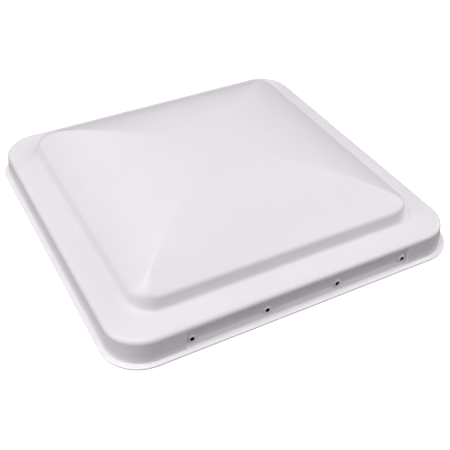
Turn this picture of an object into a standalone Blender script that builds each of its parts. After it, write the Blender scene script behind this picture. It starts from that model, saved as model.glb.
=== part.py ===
"""Roof vent cover: moulded lid with a pin hinge, a lift track and a weather seal.

The lid lies with its lip on the plane z = 0. The hinge side faces -Y, the side
that lifts faces +Y, and the hinge pin runs along X. Units are metres.
"""
import math

import bmesh
import bpy
from mathutils import Matrix, Vector

MM = 0.001

# Lid shell, in plan: insets are measured inward from the outer edge of the lip.
LID_HALF = 203.0 * MM
LIP_THICK = 2.4 * MM
WALL = 2.5 * MM
SKIRT_FOOT_INSET = 5.2 * MM
SKIRT_TOP_INSET = 6.7 * MM
SKIRT_TOP_Z = 24.5 * MM
EDGE_RADIUS = 5.3 * MM
LEDGE_FALL = 0.6 * MM
LEDGE_UNDER_Z = 27.7 * MM
STEP_FOOT_INSET = 37.8 * MM
RIM_INSET = 40.4 * MM
RIM_Z = 45.7 * MM
APEX_Z = 78.6 * MM
DOME_POWER = 3.4
CORNER_STEPS = 7
DOME_RINGS = 16
HIP_RADIUS = 2.6 * MM
HIP_FADE = 0.06
CROWN_HALF = 3.0 * MM
GATE_RADIUS = 1.6 * MM
GATE_HEIGHT = 0.35 * MM

# Hinge pad: the recess in the hinge side that the rivets sit in, deepest at the break.
HINGE_X = 1.8 * MM
PAD_HALF = 130.0 * MM
PAD_Y = -194.7 * MM
PAD_BREAK_Z = 9.5 * MM
PAD_FOOT_Z = 2.9 * MM
PAD_FOOT_Y = -196.7 * MM
PAD_HEAD_Y = -196.2 * MM
PAD_INNER_Y = -192.2 * MM
PAD_BACK_HALF = 132.0 * MM

# Hinge: two leaves rolled round one pin.
PIN_RADIUS = 1.25 * MM
PIN_HEAD_RADIUS = 2.3 * MM
PIN_HEAD_THICK = 1.0 * MM
BORE_RADIUS = 1.65 * MM
BARREL_RADIUS = 3.2 * MM
LEAF_THICK = 1.4 * MM
GAP = 0.3 * MM
PIN_Y = PAD_INNER_Y + GAP + BARREL_RADIUS
PIN_Z = 4.4 * MM
LEAF_HALF = 129.5 * MM
LEAF_TOP_Z = 20.2 * MM
KNUCKLES = 13
KNUCKLE_GAP = 0.4 * MM
BARREL_STEPS = 16
ROOF_HOLE_RADIUS = 2.25 * MM
ROOF_HOLE_Z = 13.4 * MM
ROOF_HOLES = (-98.0 * MM, -20.0 * MM, 20.0 * MM, 98.0 * MM)

# Blind rivets through the pad and the lid leaf.
RIVET_PITCH = 82.5 * MM
RIVET_Z = 11.6 * MM
RIVET_HEAD_RADIUS = 4.8 * MM
RIVET_HEAD_THICK = 1.2 * MM
RIVET_SHANK_RADIUS = 3.0 * MM
RIVET_HOLE_RADIUS = 3.4 * MM
RIVET_BULB_RADIUS = 3.6 * MM
RIVET_BULB_LENGTH = 2.8 * MM
RIVET_BORE_RADIUS = 2.45 * MM
SPOT_RADIUS = 5.2 * MM
MANDREL_RADIUS = 2.05 * MM
MANDREL_LENGTH = 5.6 * MM
MANDREL_SINK = 2.7 * MM

# Lift track under the dome, parallel to the hinge.
TRACK_Y = 118.0 * MM
TRACK_TOP_Z = 47.2 * MM
TRACK_HEIGHT = 11.0 * MM
TRACK_HALF = 100.0 * MM
TRACK_WIDTH = 17.0 * MM
TRACK_WALL = 1.5 * MM
TRACK_SLOT = 7.6 * MM
TAB_LENGTH = 17.0 * MM
TAB_WIDTH = 24.0 * MM
SCREW_X = 108.0 * MM
SCREW_SPREAD = 6.0 * MM
BOSS_RADIUS = 4.0 * MM
BOSS_FOOT_Z = TRACK_TOP_Z + GAP
BOSS_ROOT = 1.2 * MM
PILOT_RADIUS = 1.9 * MM
PILOT_DEPTH = 7.6 * MM
SCREW_RADIUS = 1.5 * MM
SCREW_LENGTH = 8.2 * MM
SCREW_HEAD_RADIUS = 3.4 * MM
SCREW_HEAD_THICK = 2.2 * MM
SCREW_CROSS = (4.0 * MM, 0.9 * MM, 1.2 * MM)

# Slider shoe and the stud that a lift arm clips to.
SHOE_HALF = 12.0 * MM
SHOE_GAP = 0.4 * MM
NECK_HALF = 9.0 * MM
NECK_WIDTH = 6.8 * MM
NECK_DROP = 2.6 * MM
STUD_RADIUS = 2.0 * MM
STUD_BORE = 2.4 * MM
STUD_HEAD_RADIUS = 3.6 * MM
STUD_HEAD_THICK = 1.2 * MM
POCKET_RADIUS = 4.1 * MM
POCKET_DEPTH = 2.4 * MM
STUD_NECK = 3.4 * MM
STUD_BUTTON_RADIUS = 3.5 * MM
STUD_BUTTON_THICK = 2.0 * MM

# Foam weather seal glued under the ledge.
SEAL_OUTER_INSET = 16.0 * MM
SEAL_WIDTH = 12.0 * MM
SEAL_OUTER_RADIUS = 28.0 * MM
SEAL_THICK = 6.0 * MM
SEAL_TOP_Z = LEDGE_UNDER_Z - GAP

ROUND_STEPS = 16
SMOOTH_ANGLE = math.radians(30.0)


def clear_scene():
    for obj in list(bpy.data.objects):
        bpy.data.objects.remove(obj, do_unlink=True)


def material(name, colour, roughness, metallic=0.0):
    mat = bpy.data.materials.new(name)
    mat.use_nodes = True
    shader = mat.node_tree.nodes["Principled BSDF"]
    shader.inputs["Base Color"].default_value = (*colour, 1.0)
    shader.inputs["Roughness"].default_value = roughness
    shader.inputs["Metallic"].default_value = metallic
    return mat


def new_collection(name):
    col = bpy.data.collections.new(name)
    bpy.context.scene.collection.children.link(col)
    return col


def add_object(name, mesh, mat=None, location=(0.0, 0.0, 0.0)):
    obj = bpy.data.objects.new(name, mesh)
    obj.location = location
    if mat is None:
        CUTTERS.objects.link(obj)
        obj.hide_render = True
        obj.display_type = "WIRE"
    else:
        PARTS.objects.link(obj)
        obj.data.materials.append(mat)
    return obj


def finish(obj):
    """Shade a piece smooth with its true edges kept sharp."""
    obj.data.shade_smooth()
    obj.data.set_sharp_from_angle(angle=SMOOTH_ANGLE)


def mesh_from(bm, name):
    bmesh.ops.recalc_face_normals(bm, faces=bm.faces)
    mesh = bpy.data.meshes.new(name)
    bm.to_mesh(mesh)
    bm.free()
    return mesh


def loft(name, rings):
    """Skin a run of rings with equal counts and cap both ends."""
    bm = bmesh.new()
    rows = [[bm.verts.new(point) for point in ring] for ring in rings]
    count = len(rows[0])
    for low, high in zip(rows, rows[1:]):
        for i in range(count):
            j = (i + 1) % count
            bm.faces.new((low[i], low[j], high[j], high[i]))
    bm.faces.new(rows[0])
    bm.faces.new(rows[-1])
    return mesh_from(bm, name)


def box_mesh(name, low, high):
    bm = bmesh.new()
    centre = (Vector(low) + Vector(high)) / 2.0
    size = Vector(high) - Vector(low)
    matrix = Matrix.Translation(centre) @ Matrix.Diagonal((*size, 1.0))
    bmesh.ops.create_cube(bm, size=1.0, matrix=matrix)
    return mesh_from(bm, name)


def rod_mesh(name, radius, start, end, steps=ROUND_STEPS):
    """A plain cylinder from start to end."""
    bm = bmesh.new()
    start = Vector(start)
    axis = Vector(end) - start
    turn = axis.to_track_quat("Z", "Y").to_matrix().to_4x4()
    matrix = Matrix.Translation(start + axis / 2.0) @ turn
    bmesh.ops.create_cone(
        bm,
        cap_ends=True,
        segments=steps,
        radius1=radius,
        radius2=radius,
        depth=axis.length,
        matrix=matrix,
    )
    return mesh_from(bm, name)


def extruded_mesh(name, loops, half_length, turn):
    """Extrude flat loops both ways from their plane, then turn the block."""
    curve = bpy.data.curves.new(name, "CURVE")
    curve.dimensions = "2D"
    curve.fill_mode = "BOTH"
    curve.extrude = half_length
    for loop in loops:
        spline = curve.splines.new("POLY")
        spline.points.add(len(loop) - 1)
        for point, (x, y) in zip(spline.points, loop):
            point.co = (x, y, 0.0, 1.0)
        spline.use_cyclic_u = True
    holder = bpy.data.objects.new(name + "_curve", curve)
    bpy.context.scene.collection.objects.link(holder)
    graph = bpy.context.evaluated_depsgraph_get()
    mesh = bpy.data.meshes.new_from_object(holder.evaluated_get(graph))
    mesh.name = name
    bpy.data.objects.remove(holder, do_unlink=True)
    bm = bmesh.new()
    bm.from_mesh(mesh)
    bmesh.ops.remove_doubles(bm, verts=bm.verts, dist=0.001 * MM)
    bmesh.ops.transform(bm, matrix=turn, verts=bm.verts)
    bmesh.ops.recalc_face_normals(bm, faces=bm.faces)
    bm.to_mesh(mesh)
    bm.free()
    return mesh


def turned(name, profile, mat, location, turn=(0.0, 0.0, 0.0), closed=False):
    """Turn a profile of (radius, height) round the local Z axis."""
    mesh = bpy.data.meshes.new(name)
    points = [(radius, 0.0, height) for radius, height in profile]
    edges = [(i, i + 1) for i in range(len(points) - 1)]
    if closed:
        edges.append((len(points) - 1, 0))
    mesh.from_pydata(points, edges, [])
    obj = add_object(name, mesh, mat, location)
    obj.rotation_euler = turn
    screw = obj.modifiers.new("turn", "SCREW")
    screw.axis = "Z"
    screw.angle = math.tau
    screw.steps = ROUND_STEPS
    screw.render_steps = ROUND_STEPS
    screw.use_merge_vertices = True
    screw.merge_threshold = 0.01 * MM
    screw.use_smooth_shade = True
    return obj


def boolean(obj, operation, cutter):
    mod = obj.modifiers.new(cutter.name, "BOOLEAN")
    mod.operation = operation
    mod.solver = "EXACT"
    mod.object = cutter


def cut(obj, name, mesh):
    boolean(obj, "DIFFERENCE", add_object(name, mesh))


def add(obj, name, mesh):
    boolean(obj, "UNION", add_object(name, mesh))


def rounded_square(inset, z, radius):
    half = LID_HALF - inset
    ring = []
    for corner in range(4):
        start = corner * math.pi / 2.0
        sx = 1.0 if corner in (0, 3) else -1.0
        sy = 1.0 if corner in (0, 1) else -1.0
        for step in range(CORNER_STEPS + 1):
            angle = start + step * math.pi / 2.0 / CORNER_STEPS
            x = sx * (half - radius) + radius * math.cos(angle)
            y = sy * (half - radius) + radius * math.sin(angle)
            ring.append(Vector((x, y, z)))
    return ring


def plan_radius(inset):
    """Corner radius of the lid in plan at a given inset."""
    table = ((0.0, 43.0), (5.2, 39.5), (6.7, 39.5), (12.0, 35.8), (37.8, 29.0), (42.6, 25.5))
    inset_mm = inset / MM
    for (low, a), (high, b) in zip(table, table[1:]):
        if inset_mm <= high:
            return (a + (b - a) * (inset_mm - low) / (high - low)) * MM
    return table[-1][1] * MM


def dome_z(reach):
    """Height of the dome where the larger of |x| and |y| is the given reach."""
    share = reach / (LID_HALF - RIM_INSET)
    return RIM_Z + (APEX_Z - RIM_Z) * (1.0 - share**DOME_POWER)


def dome_rings(rise, start_share):
    rings = []
    half = LID_HALF - RIM_INSET
    rim_radius = plan_radius(RIM_INSET)
    last_share = CROWN_HALF / half
    for step in range(DOME_RINGS + 1):
        share = start_share + (last_share - start_share) * (step / DOME_RINGS) ** 1.25
        fade = math.exp(-(1.0 - share) / HIP_FADE)
        radius = min(HIP_RADIUS + (rim_radius - HIP_RADIUS) * fade, half * share * 0.9)
        rings.append(rounded_square(RIM_INSET + half * (1.0 - share), dome_z(half * share) + rise, radius))
    return rings


def arc(centre, radius, first, last, steps):
    points = []
    for step in range(steps + 1):
        angle = math.radians(first + (last - first) * step / steps)
        points.append((centre[0] + radius * math.cos(angle), centre[1] + radius * math.sin(angle)))
    return points


def sweep(first, middle, last, steps):
    """Points of a quadratic curve between first and last."""
    points = []
    for step in range(steps + 1):
        t = step / steps
        a = (1.0 - t) ** 2
        b = 2.0 * t * (1.0 - t)
        c = t * t
        points.append(tuple(a * p + b * q + c * r for p, q, r in zip(first, middle, last)))
    return points


def outer_profile():
    """(inset, z) of the outside of the lid, from the foot of the lip up to the rim."""
    ledge_z = SKIRT_TOP_Z + EDGE_RADIUS
    centre = (SKIRT_TOP_INSET + EDGE_RADIUS, SKIRT_TOP_Z)
    points = [(0.5 * MM, 0.0), (0.0, 0.5 * MM)]
    points += sweep((0.0, 0.9 * MM), (0.0, LIP_THICK), (1.7 * MM, LIP_THICK), 3)
    points += [
        (SKIRT_FOOT_INSET - 1.4 * MM, LIP_THICK + 0.1 * MM),
        (SKIRT_FOOT_INSET - 0.4 * MM, LIP_THICK + 0.5 * MM),
        (SKIRT_FOOT_INSET, LIP_THICK + 1.5 * MM),
    ]
    points += arc(centre, EDGE_RADIUS, 180.0, 90.0, 6)
    foot_z = ledge_z + LEDGE_FALL
    points += sweep(
        (STEP_FOOT_INSET - 4.2 * MM, foot_z),
        (STEP_FOOT_INSET - 0.2 * MM, foot_z),
        (STEP_FOOT_INSET + 0.7 * MM, foot_z + 4.8 * MM),
        5,
    )
    points += sweep(
        (RIM_INSET - 0.55 * MM, RIM_Z - 3.0 * MM),
        (RIM_INSET, RIM_Z - 0.1 * MM),
        (RIM_INSET + 3.2 * MM, dome_z(LID_HALF - RIM_INSET - 3.2 * MM)),
        4,
    )
    return points


def inner_profile():
    """(inset, z) of the inside of the lid, from the foot of the lip up to the rim."""
    centre = (SKIRT_TOP_INSET + EDGE_RADIUS, SKIRT_TOP_Z)
    points = [
        (SKIRT_FOOT_INSET + WALL - 0.4 * MM, 0.0),
        (SKIRT_FOOT_INSET + WALL, 0.4 * MM),
        (SKIRT_FOOT_INSET + WALL, LIP_THICK + 1.5 * MM),
    ]
    points += arc(centre, LEDGE_UNDER_Z - SKIRT_TOP_Z, 180.0, 90.0, 3)
    points += sweep(
        (STEP_FOOT_INSET - 2.0 * MM, LEDGE_UNDER_Z),
        (STEP_FOOT_INSET + 2.4 * MM, LEDGE_UNDER_Z),
        (STEP_FOOT_INSET + 3.2 * MM, LEDGE_UNDER_Z + 5.4 * MM),
        3,
    )
    points.append((RIM_INSET + 2.1 * MM, RIM_Z - 3.6 * MM))
    return points


def build_shell(mat):
    outer = [rounded_square(inset, z, plan_radius(inset)) for inset, z in outer_profile()]
    inner = [rounded_square(inset, z, plan_radius(inset)) for inset, z in inner_profile()]
    half = LID_HALF - RIM_INSET
    outer += dome_rings(0.0, 1.0 - 4.8 * MM / half)
    inner += dome_rings(-WALL, 1.0 - 5.4 * MM / half)
    shell = add_object("lid_shell", loft("lid_shell", inner[::-1] + outer), mat)
    gate_low = (0.0, 0.0, APEX_Z - 1.0 * MM)
    gate_high = (0.0, 0.0, APEX_Z + GATE_HEIGHT)
    add(shell, "gate_mark", rod_mesh("gate_mark", GATE_RADIUS, gate_low, gate_high))
    turn = Matrix.Translation((HINGE_X, 0.0, 0.0)) @ ALONG_X
    outline = [
        (PAD_INNER_Y - 3.6 * MM, 1.8 * MM),
        (PAD_INNER_Y, 1.8 * MM),
        (PAD_INNER_Y, SKIRT_TOP_Z + 3.1 * MM),
        (PAD_INNER_Y - 2.8 * MM, SKIRT_TOP_Z + 3.1 * MM),
    ]
    add(shell, "pad_back", extruded_mesh("pad_back", [outline], PAD_BACK_HALF, turn))
    outline = [
        (PAD_Y, PAD_BREAK_Z),
        (PAD_HEAD_Y, SKIRT_TOP_Z),
        (-LID_HALF - 5.0 * MM, SKIRT_TOP_Z),
        (-LID_HALF - 5.0 * MM, PAD_FOOT_Z),
        (PAD_FOOT_Y, PAD_FOOT_Z),
    ]
    cut(shell, "pad_recess", extruded_mesh("pad_recess", [outline], PAD_HALF, turn))
    for number, x in enumerate(rivet_positions(), 1):
        start = (x, -LID_HALF - 2.0 * MM, RIVET_Z)
        spot = rod_mesh(f"spot_face_{number}", SPOT_RADIUS, start, (x, PAD_Y, RIVET_Z))
        cut(shell, f"spot_face_{number}", spot)
        end = (x, PAD_INNER_Y + 3.0 * MM, RIVET_Z)
        hole = rod_mesh(f"rivet_hole_{number}", RIVET_HOLE_RADIUS, start, end)
        cut(shell, f"rivet_hole_{number}", hole)
    for number, (x, y) in enumerate(screw_positions(), 1):
        top = dome_z(max(abs(x), abs(y)))
        boss = rod_mesh(f"boss_{number}", BOSS_RADIUS, (x, y, BOSS_FOOT_Z), (x, y, top))
        for vert in boss.vertices:
            if vert.co.z > BOSS_FOOT_Z + 1.0 * MM:
                reach = max(abs(vert.co.x), abs(vert.co.y))
                vert.co.z = dome_z(reach) - WALL + BOSS_ROOT
        add(shell, f"boss_{number}", boss)
        start = (x, y, BOSS_FOOT_Z - 1.0 * MM)
        end = (x, y, BOSS_FOOT_Z + PILOT_DEPTH)
        cut(shell, f"pilot_{number}", rod_mesh(f"pilot_{number}", PILOT_RADIUS, start, end))
    finish(shell)


def rivet_positions():
    return [HINGE_X + RIVET_PITCH * k for k in (-1.5, -0.5, 0.5, 1.5)]


def screw_positions():
    places = []
    for x in (-SCREW_X, SCREW_X):
        for y in (TRACK_Y - SCREW_SPREAD, TRACK_Y + SCREW_SPREAD):
            places.append((x, y))
    return places


def leaf_section(side):
    """Leaf and barrel in (y, z) round the pin; side is -1 for the lid, 1 for the roof."""
    top = LEAF_TOP_Z - PIN_Z
    inner = BARREL_RADIUS - LEAF_THICK
    rise = math.sqrt(BARREL_RADIUS**2 - inner**2)
    end = math.degrees(math.atan2(rise, inner))
    ring = arc((0.0, 0.0), BARREL_RADIUS, 0.0, -360.0 + end, BARREL_STEPS)
    outline = [(BARREL_RADIUS, top)] + ring + [(inner, top)]
    bore = arc((0.0, 0.0), BORE_RADIUS, 0.0, 360.0, BARREL_STEPS)[:-1]
    return [[(side * y, z) for y, z in outline], bore]


def knuckle_cutters(first):
    """Boxes that clear every second knuckle, starting at the given one."""
    pitch = 2.0 * LEAF_HALF / KNUCKLES
    reach = BARREL_RADIUS + 2.0 * MM
    top = BARREL_RADIUS + KNUCKLE_GAP
    boxes = []
    for knuckle in range(first, KNUCKLES, 2):
        low = -LEAF_HALF + knuckle * pitch - KNUCKLE_GAP / 2.0
        high = low + pitch + KNUCKLE_GAP
        if knuckle == 0:
            low -= 1.0 * MM
        if knuckle == KNUCKLES - 1:
            high += 1.0 * MM
        boxes.append(((low, -reach, -reach), (high, reach, top)))
    return boxes


def build_leaf(name, side, mat, first_cut, holes, hole_radius, hole_z):
    mesh = extruded_mesh(name, leaf_section(side), LEAF_HALF, ALONG_X)
    leaf = add_object(name, mesh, mat, (HINGE_X, PIN_Y, PIN_Z))
    for number, (low, high) in enumerate(knuckle_cutters(first_cut), 1):
        cutter = add_object(f"{name}_notch_{number}", box_mesh(name + "_notch", low, high))
        cutter.location = leaf.location
        boolean(leaf, "DIFFERENCE", cutter)
    for number, x in enumerate(holes, 1):
        start = (x, PIN_Y - 6.0 * MM, hole_z)
        end = (x, PIN_Y + 6.0 * MM, hole_z)
        hole_name = f"{name}_hole_{number}"
        cut(leaf, hole_name, rod_mesh(hole_name, hole_radius, start, end))
    finish(leaf)


def build_hinge(steel, pin_steel):
    lid_holes = rivet_positions()
    roof_holes = [HINGE_X + x for x in ROOF_HOLES]
    build_leaf("hinge_leaf_lid", -1.0, steel, 1, lid_holes, RIVET_HOLE_RADIUS, RIVET_Z)
    build_leaf("hinge_leaf_roof", 1.0, steel, 0, roof_holes, ROOF_HOLE_RADIUS, ROOF_HOLE_Z)
    end = LEAF_HALF + GAP
    profile = [
        (0.0, end + PIN_HEAD_THICK),
        (PIN_HEAD_RADIUS - 0.5 * MM, end + PIN_HEAD_THICK),
        (PIN_HEAD_RADIUS, end + PIN_HEAD_THICK - 0.5 * MM),
        (PIN_HEAD_RADIUS, end),
        (PIN_RADIUS, end),
    ]
    profile += [(radius, -height) for radius, height in profile[::-1]]
    place = (HINGE_X, PIN_Y, PIN_Z)
    pin = turned("hinge_pin", profile, pin_steel, place, turn=(0.0, math.pi / 2.0, 0.0))
    finish(pin)


def build_rivets(white, dark):
    seat = PAD_Y - GAP
    bulb = PAD_INNER_Y + GAP + LEAF_THICK + GAP - seat
    length = bulb + RIVET_BULB_LENGTH
    profile = [
        (RIVET_BORE_RADIUS, RIVET_HEAD_THICK),
        (RIVET_HEAD_RADIUS - 1.6 * MM, RIVET_HEAD_THICK),
        (RIVET_HEAD_RADIUS - 0.5 * MM, RIVET_HEAD_THICK * 0.7),
        (RIVET_HEAD_RADIUS, RIVET_HEAD_THICK * 0.25),
        (RIVET_HEAD_RADIUS, 0.0),
        (RIVET_SHANK_RADIUS, 0.0),
        (RIVET_SHANK_RADIUS, -bulb),
        (RIVET_BULB_RADIUS, -bulb - 0.3 * MM),
        (RIVET_BULB_RADIUS, -length + 0.8 * MM),
        (RIVET_SHANK_RADIUS, -length),
        (RIVET_BORE_RADIUS, -length),
    ]
    core = [
        (0.0, 0.0),
        (MANDREL_RADIUS - 0.5 * MM, 0.0),
        (MANDREL_RADIUS, -0.5 * MM),
        (MANDREL_RADIUS, -MANDREL_LENGTH),
        (0.0, -MANDREL_LENGTH),
    ]
    turn = (math.pi / 2.0, 0.0, 0.0)
    for number, x in enumerate(rivet_positions(), 1):
        place = (x, seat, RIVET_Z)
        finish(turned(f"hinge_rivet_{number}", profile, white, place, turn, closed=True))
        place = (x, seat - RIVET_HEAD_THICK + MANDREL_SINK, RIVET_Z)
        finish(turned(f"rivet_mandrel_{number}", core, dark, place, turn))


def build_track(metal):
    wide = TRACK_WIDTH / 2.0
    slot = TRACK_SLOT / 2.0
    foot = TRACK_TOP_Z - TRACK_HEIGHT
    inner = wide - TRACK_WALL
    section = [
        (wide, TRACK_TOP_Z),
        (-wide, TRACK_TOP_Z),
        (-wide, foot),
        (-slot, foot),
        (-slot, foot + TRACK_WALL),
        (-inner, foot + TRACK_WALL),
        (-inner, TRACK_TOP_Z - TRACK_WALL),
        (inner, TRACK_TOP_Z - TRACK_WALL),
        (inner, foot + TRACK_WALL),
        (slot, foot + TRACK_WALL),
        (slot, foot),
        (wide, foot),
    ]
    turn = Matrix.Translation((0.0, TRACK_Y, 0.0)) @ ALONG_X
    track = add_object("lift_track", extruded_mesh("lift_track", [section], TRACK_HALF, turn), metal)
    for side in (-1.0, 1.0):
        ends = sorted((side * (TRACK_HALF - 4.0 * MM), side * (TRACK_HALF + TAB_LENGTH)))
        low = (ends[0], TRACK_Y - TAB_WIDTH / 2.0, TRACK_TOP_Z - TRACK_WALL)
        high = (ends[1], TRACK_Y + TAB_WIDTH / 2.0, TRACK_TOP_Z)
        name = "track_tab_left" if side < 0.0 else "track_tab_right"
        add(track, name, box_mesh(name, low, high))
    for number, (x, y) in enumerate(screw_positions(), 1):
        start = (x, y, TRACK_TOP_Z - TRACK_WALL - 1.0 * MM)
        end = (x, y, TRACK_TOP_Z + 1.0 * MM)
        cut(track, f"tab_hole_{number}", rod_mesh(f"tab_hole_{number}", PILOT_RADIUS, start, end))
    finish(track)


def build_screws(steel):
    seat = TRACK_TOP_Z - TRACK_WALL - GAP
    profile = [
        (0.0, SCREW_LENGTH),
        (0.4 * MM, SCREW_LENGTH),
        (SCREW_RADIUS, SCREW_LENGTH - 1.8 * MM),
        (SCREW_RADIUS, 0.0),
        (SCREW_HEAD_RADIUS, 0.0),
        (SCREW_HEAD_RADIUS, -SCREW_HEAD_THICK * 0.45),
        (SCREW_HEAD_RADIUS * 0.72, -SCREW_HEAD_THICK * 0.9),
        (SCREW_HEAD_RADIUS * 0.4, -SCREW_HEAD_THICK),
        (0.0, -SCREW_HEAD_THICK),
    ]
    length, width, depth = (value / 2.0 for value in SCREW_CROSS)
    for number, (x, y) in enumerate(screw_positions(), 1):
        screw = turned(f"track_screw_{number}", profile, steel, (x, y, seat))
        floor = seat - SCREW_HEAD_THICK
        for axis, (dx, dy) in (("a", (length, width)), ("b", (width, length))):
            low = (x - dx, y - dy, floor - depth * 2.0)
            high = (x + dx, y + dy, floor + depth * 2.0)
            name = f"cross_{axis}_{number}"
            cut(screw, name, box_mesh(name, low, high))
        finish(screw)


def build_slider(nylon, steel):
    foot = TRACK_TOP_Z - TRACK_HEIGHT
    top = TRACK_TOP_Z - TRACK_WALL - SHOE_GAP
    step = foot + TRACK_WALL + SHOE_GAP
    bottom = foot - NECK_DROP
    wide = TRACK_WIDTH / 2.0 - TRACK_WALL - SHOE_GAP
    neck = NECK_WIDTH / 2.0
    body = box_mesh("lift_slider", (-SHOE_HALF, -wide, step - top), (SHOE_HALF, wide, 0.0))
    shoe = add_object("lift_slider", body, nylon, (0.0, TRACK_Y, top))
    low = (-NECK_HALF, TRACK_Y - neck, bottom)
    high = (NECK_HALF, TRACK_Y + neck, step + 1.0 * MM)
    add(shoe, "slider_neck", box_mesh("slider_neck", low, high))
    low = (0.0, TRACK_Y, bottom - 1.0 * MM)
    high = (0.0, TRACK_Y, top + 1.0 * MM)
    cut(shoe, "stud_bore", rod_mesh("stud_bore", STUD_BORE, low, high))
    low = (0.0, TRACK_Y, top - POCKET_DEPTH)
    cut(shoe, "stud_pocket", rod_mesh("stud_pocket", POCKET_RADIUS, low, high))
    finish(shoe)
    head = top - POCKET_DEPTH + 0.4 * MM
    drop = head - bottom + STUD_NECK
    edge = 0.5 * MM
    profile = [
        (0.0, STUD_HEAD_THICK),
        (STUD_HEAD_RADIUS, STUD_HEAD_THICK),
        (STUD_HEAD_RADIUS, 0.0),
        (STUD_RADIUS, 0.0),
        (STUD_RADIUS, -drop),
        (STUD_BUTTON_RADIUS - edge, -drop),
        (STUD_BUTTON_RADIUS, -drop - edge),
        (STUD_BUTTON_RADIUS, -drop - STUD_BUTTON_THICK + edge),
        (STUD_BUTTON_RADIUS - edge, -drop - STUD_BUTTON_THICK),
        (0.0, -drop - STUD_BUTTON_THICK),
    ]
    finish(turned("slider_stud", profile, steel, (0.0, TRACK_Y, head)))


def build_seal(foam):
    outer = [point.to_2d() for point in rounded_square(SEAL_OUTER_INSET, 0.0, SEAL_OUTER_RADIUS)]
    inset = SEAL_OUTER_INSET + SEAL_WIDTH
    inner = [point.to_2d() for point in rounded_square(inset, 0.0, SEAL_OUTER_RADIUS - SEAL_WIDTH)]
    turn = Matrix.Translation((0.0, 0.0, SEAL_TOP_Z - SEAL_THICK / 2.0))
    mesh = extruded_mesh("weather_seal", [outer, inner], SEAL_THICK / 2.0, turn)
    finish(add_object("weather_seal", mesh, foam))


clear_scene()
PARTS = new_collection("roof_vent_cover")
CUTTERS = new_collection("cutters")
# Sends a section drawn in (x, y) to the (y, z) plane and its thickness along x.
ALONG_X = Matrix(((0.0, 0.0, 1.0, 0.0), (1.0, 0.0, 0.0, 0.0), (0.0, 1.0, 0.0, 0.0), (0.0, 0.0, 0.0, 1.0)))

WHITE_PLASTIC = material("white_polypropylene", (0.86, 0.85, 0.87), 0.32)
WHITE_RIVET = material("white_rivet", (0.80, 0.79, 0.81), 0.35, 0.2)
DARK_STEEL = material("dark_steel", (0.05, 0.05, 0.06), 0.5, 0.8)
ZINC_STEEL = material("zinc_steel", (0.62, 0.63, 0.65), 0.38, 1.0)
BRIGHT_STEEL = material("bright_steel", (0.72, 0.72, 0.74), 0.25, 1.0)
MILL_ALUMINIUM = material("mill_aluminium", (0.77, 0.78, 0.79), 0.35, 1.0)
NYLON = material("natural_nylon", (0.82, 0.80, 0.72), 0.45)
FOAM = material("black_foam", (0.03, 0.03, 0.03), 0.95)

build_shell(WHITE_PLASTIC)
build_hinge(MILL_ALUMINIUM, BRIGHT_STEEL)
build_rivets(WHITE_RIVET, DARK_STEEL)
build_track(MILL_ALUMINIUM)
build_screws(ZINC_STEEL)
build_slider(NYLON, BRIGHT_STEEL)
build_seal(FOAM)
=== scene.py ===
import math

import bmesh
import bpy
from mathutils import Matrix, Vector


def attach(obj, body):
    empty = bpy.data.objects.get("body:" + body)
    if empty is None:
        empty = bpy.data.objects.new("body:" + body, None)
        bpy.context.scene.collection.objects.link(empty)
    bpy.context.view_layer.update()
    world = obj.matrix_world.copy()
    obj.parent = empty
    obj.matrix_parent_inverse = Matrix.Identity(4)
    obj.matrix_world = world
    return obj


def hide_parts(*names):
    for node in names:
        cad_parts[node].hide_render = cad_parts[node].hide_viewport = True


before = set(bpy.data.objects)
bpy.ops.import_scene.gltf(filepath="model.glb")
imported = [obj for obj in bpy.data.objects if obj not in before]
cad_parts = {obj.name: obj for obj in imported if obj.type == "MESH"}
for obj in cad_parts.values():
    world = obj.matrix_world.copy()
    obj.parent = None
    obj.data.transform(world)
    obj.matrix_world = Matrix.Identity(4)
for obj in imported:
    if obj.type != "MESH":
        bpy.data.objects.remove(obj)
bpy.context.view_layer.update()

MM = 0.001

# Lid shell, in millimetres. Insets run inward from the lip's outer edge, and z up from its foot.
LID_HALF = 203.0
LIP_THICK = 2.4
WALL = 2.5
SKIRT_FOOT = 5.2
SKIRT_TOP = 6.7
SKIRT_TOP_Z = 24.5
EDGE_R = 5.3
LEDGE_FALL = 0.6
LEDGE_UNDER_Z = 27.7
STEP_FOOT = 37.8
RIM = 40.4
RIM_Z = 45.7
APEX_Z = 78.6
DOME_POWER = 3.4
HIP_R = 2.6
HIP_REACH = 27.0
GATE_R = 1.6
GATE_H = 0.3

# Hinge pad and rivets.
HINGE_X = 1.8
PAD_HALF = 130.0
PAD_INSET = 8.3
PAD_BREAK_Z = 9.5
PAD_FOOT_Z = 2.9
PAD_FOOT_INSET = 6.3
PAD_BACK_HALF = 132.0
PAD_BACK_INSET = 10.8
PAD_Y = -LID_HALF + PAD_INSET
PAD_INNER_Y = -LID_HALF + PAD_BACK_INSET
RIVET_PITCH = 82.5
RIVET_Z = 11.6
RIVETS = [HINGE_X + RIVET_PITCH * k for k in (-1.5, -0.5, 0.5, 1.5)]
SPOT_R = 5.2
RIVET_HOLE_R = 3.4
GAP = 0.3

# Hinge.
PIN_R = 1.25
BORE_R = 1.65
BARREL_R = 3.2
LEAF_T = 1.4
PIN_Y = PAD_INNER_Y + GAP + BARREL_R
PIN_Z = 4.4
LEAF_HALF = 129.5
LEAF_TOP_Z = 20.2
KNUCKLES = 13
KNUCKLE_GAP = 0.4
ROOF_HOLE_R = 2.25
ROOF_HOLE_Z = 13.4
ROOF_HOLES = [HINGE_X + x for x in (-98.0, -20.0, 20.0, 98.0)]
SINK_R = 4.3
LAP_GAP = 0.25
PIN_END = LEAF_HALF + GAP
NOTCH_REACH = BARREL_R + 2.0

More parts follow.
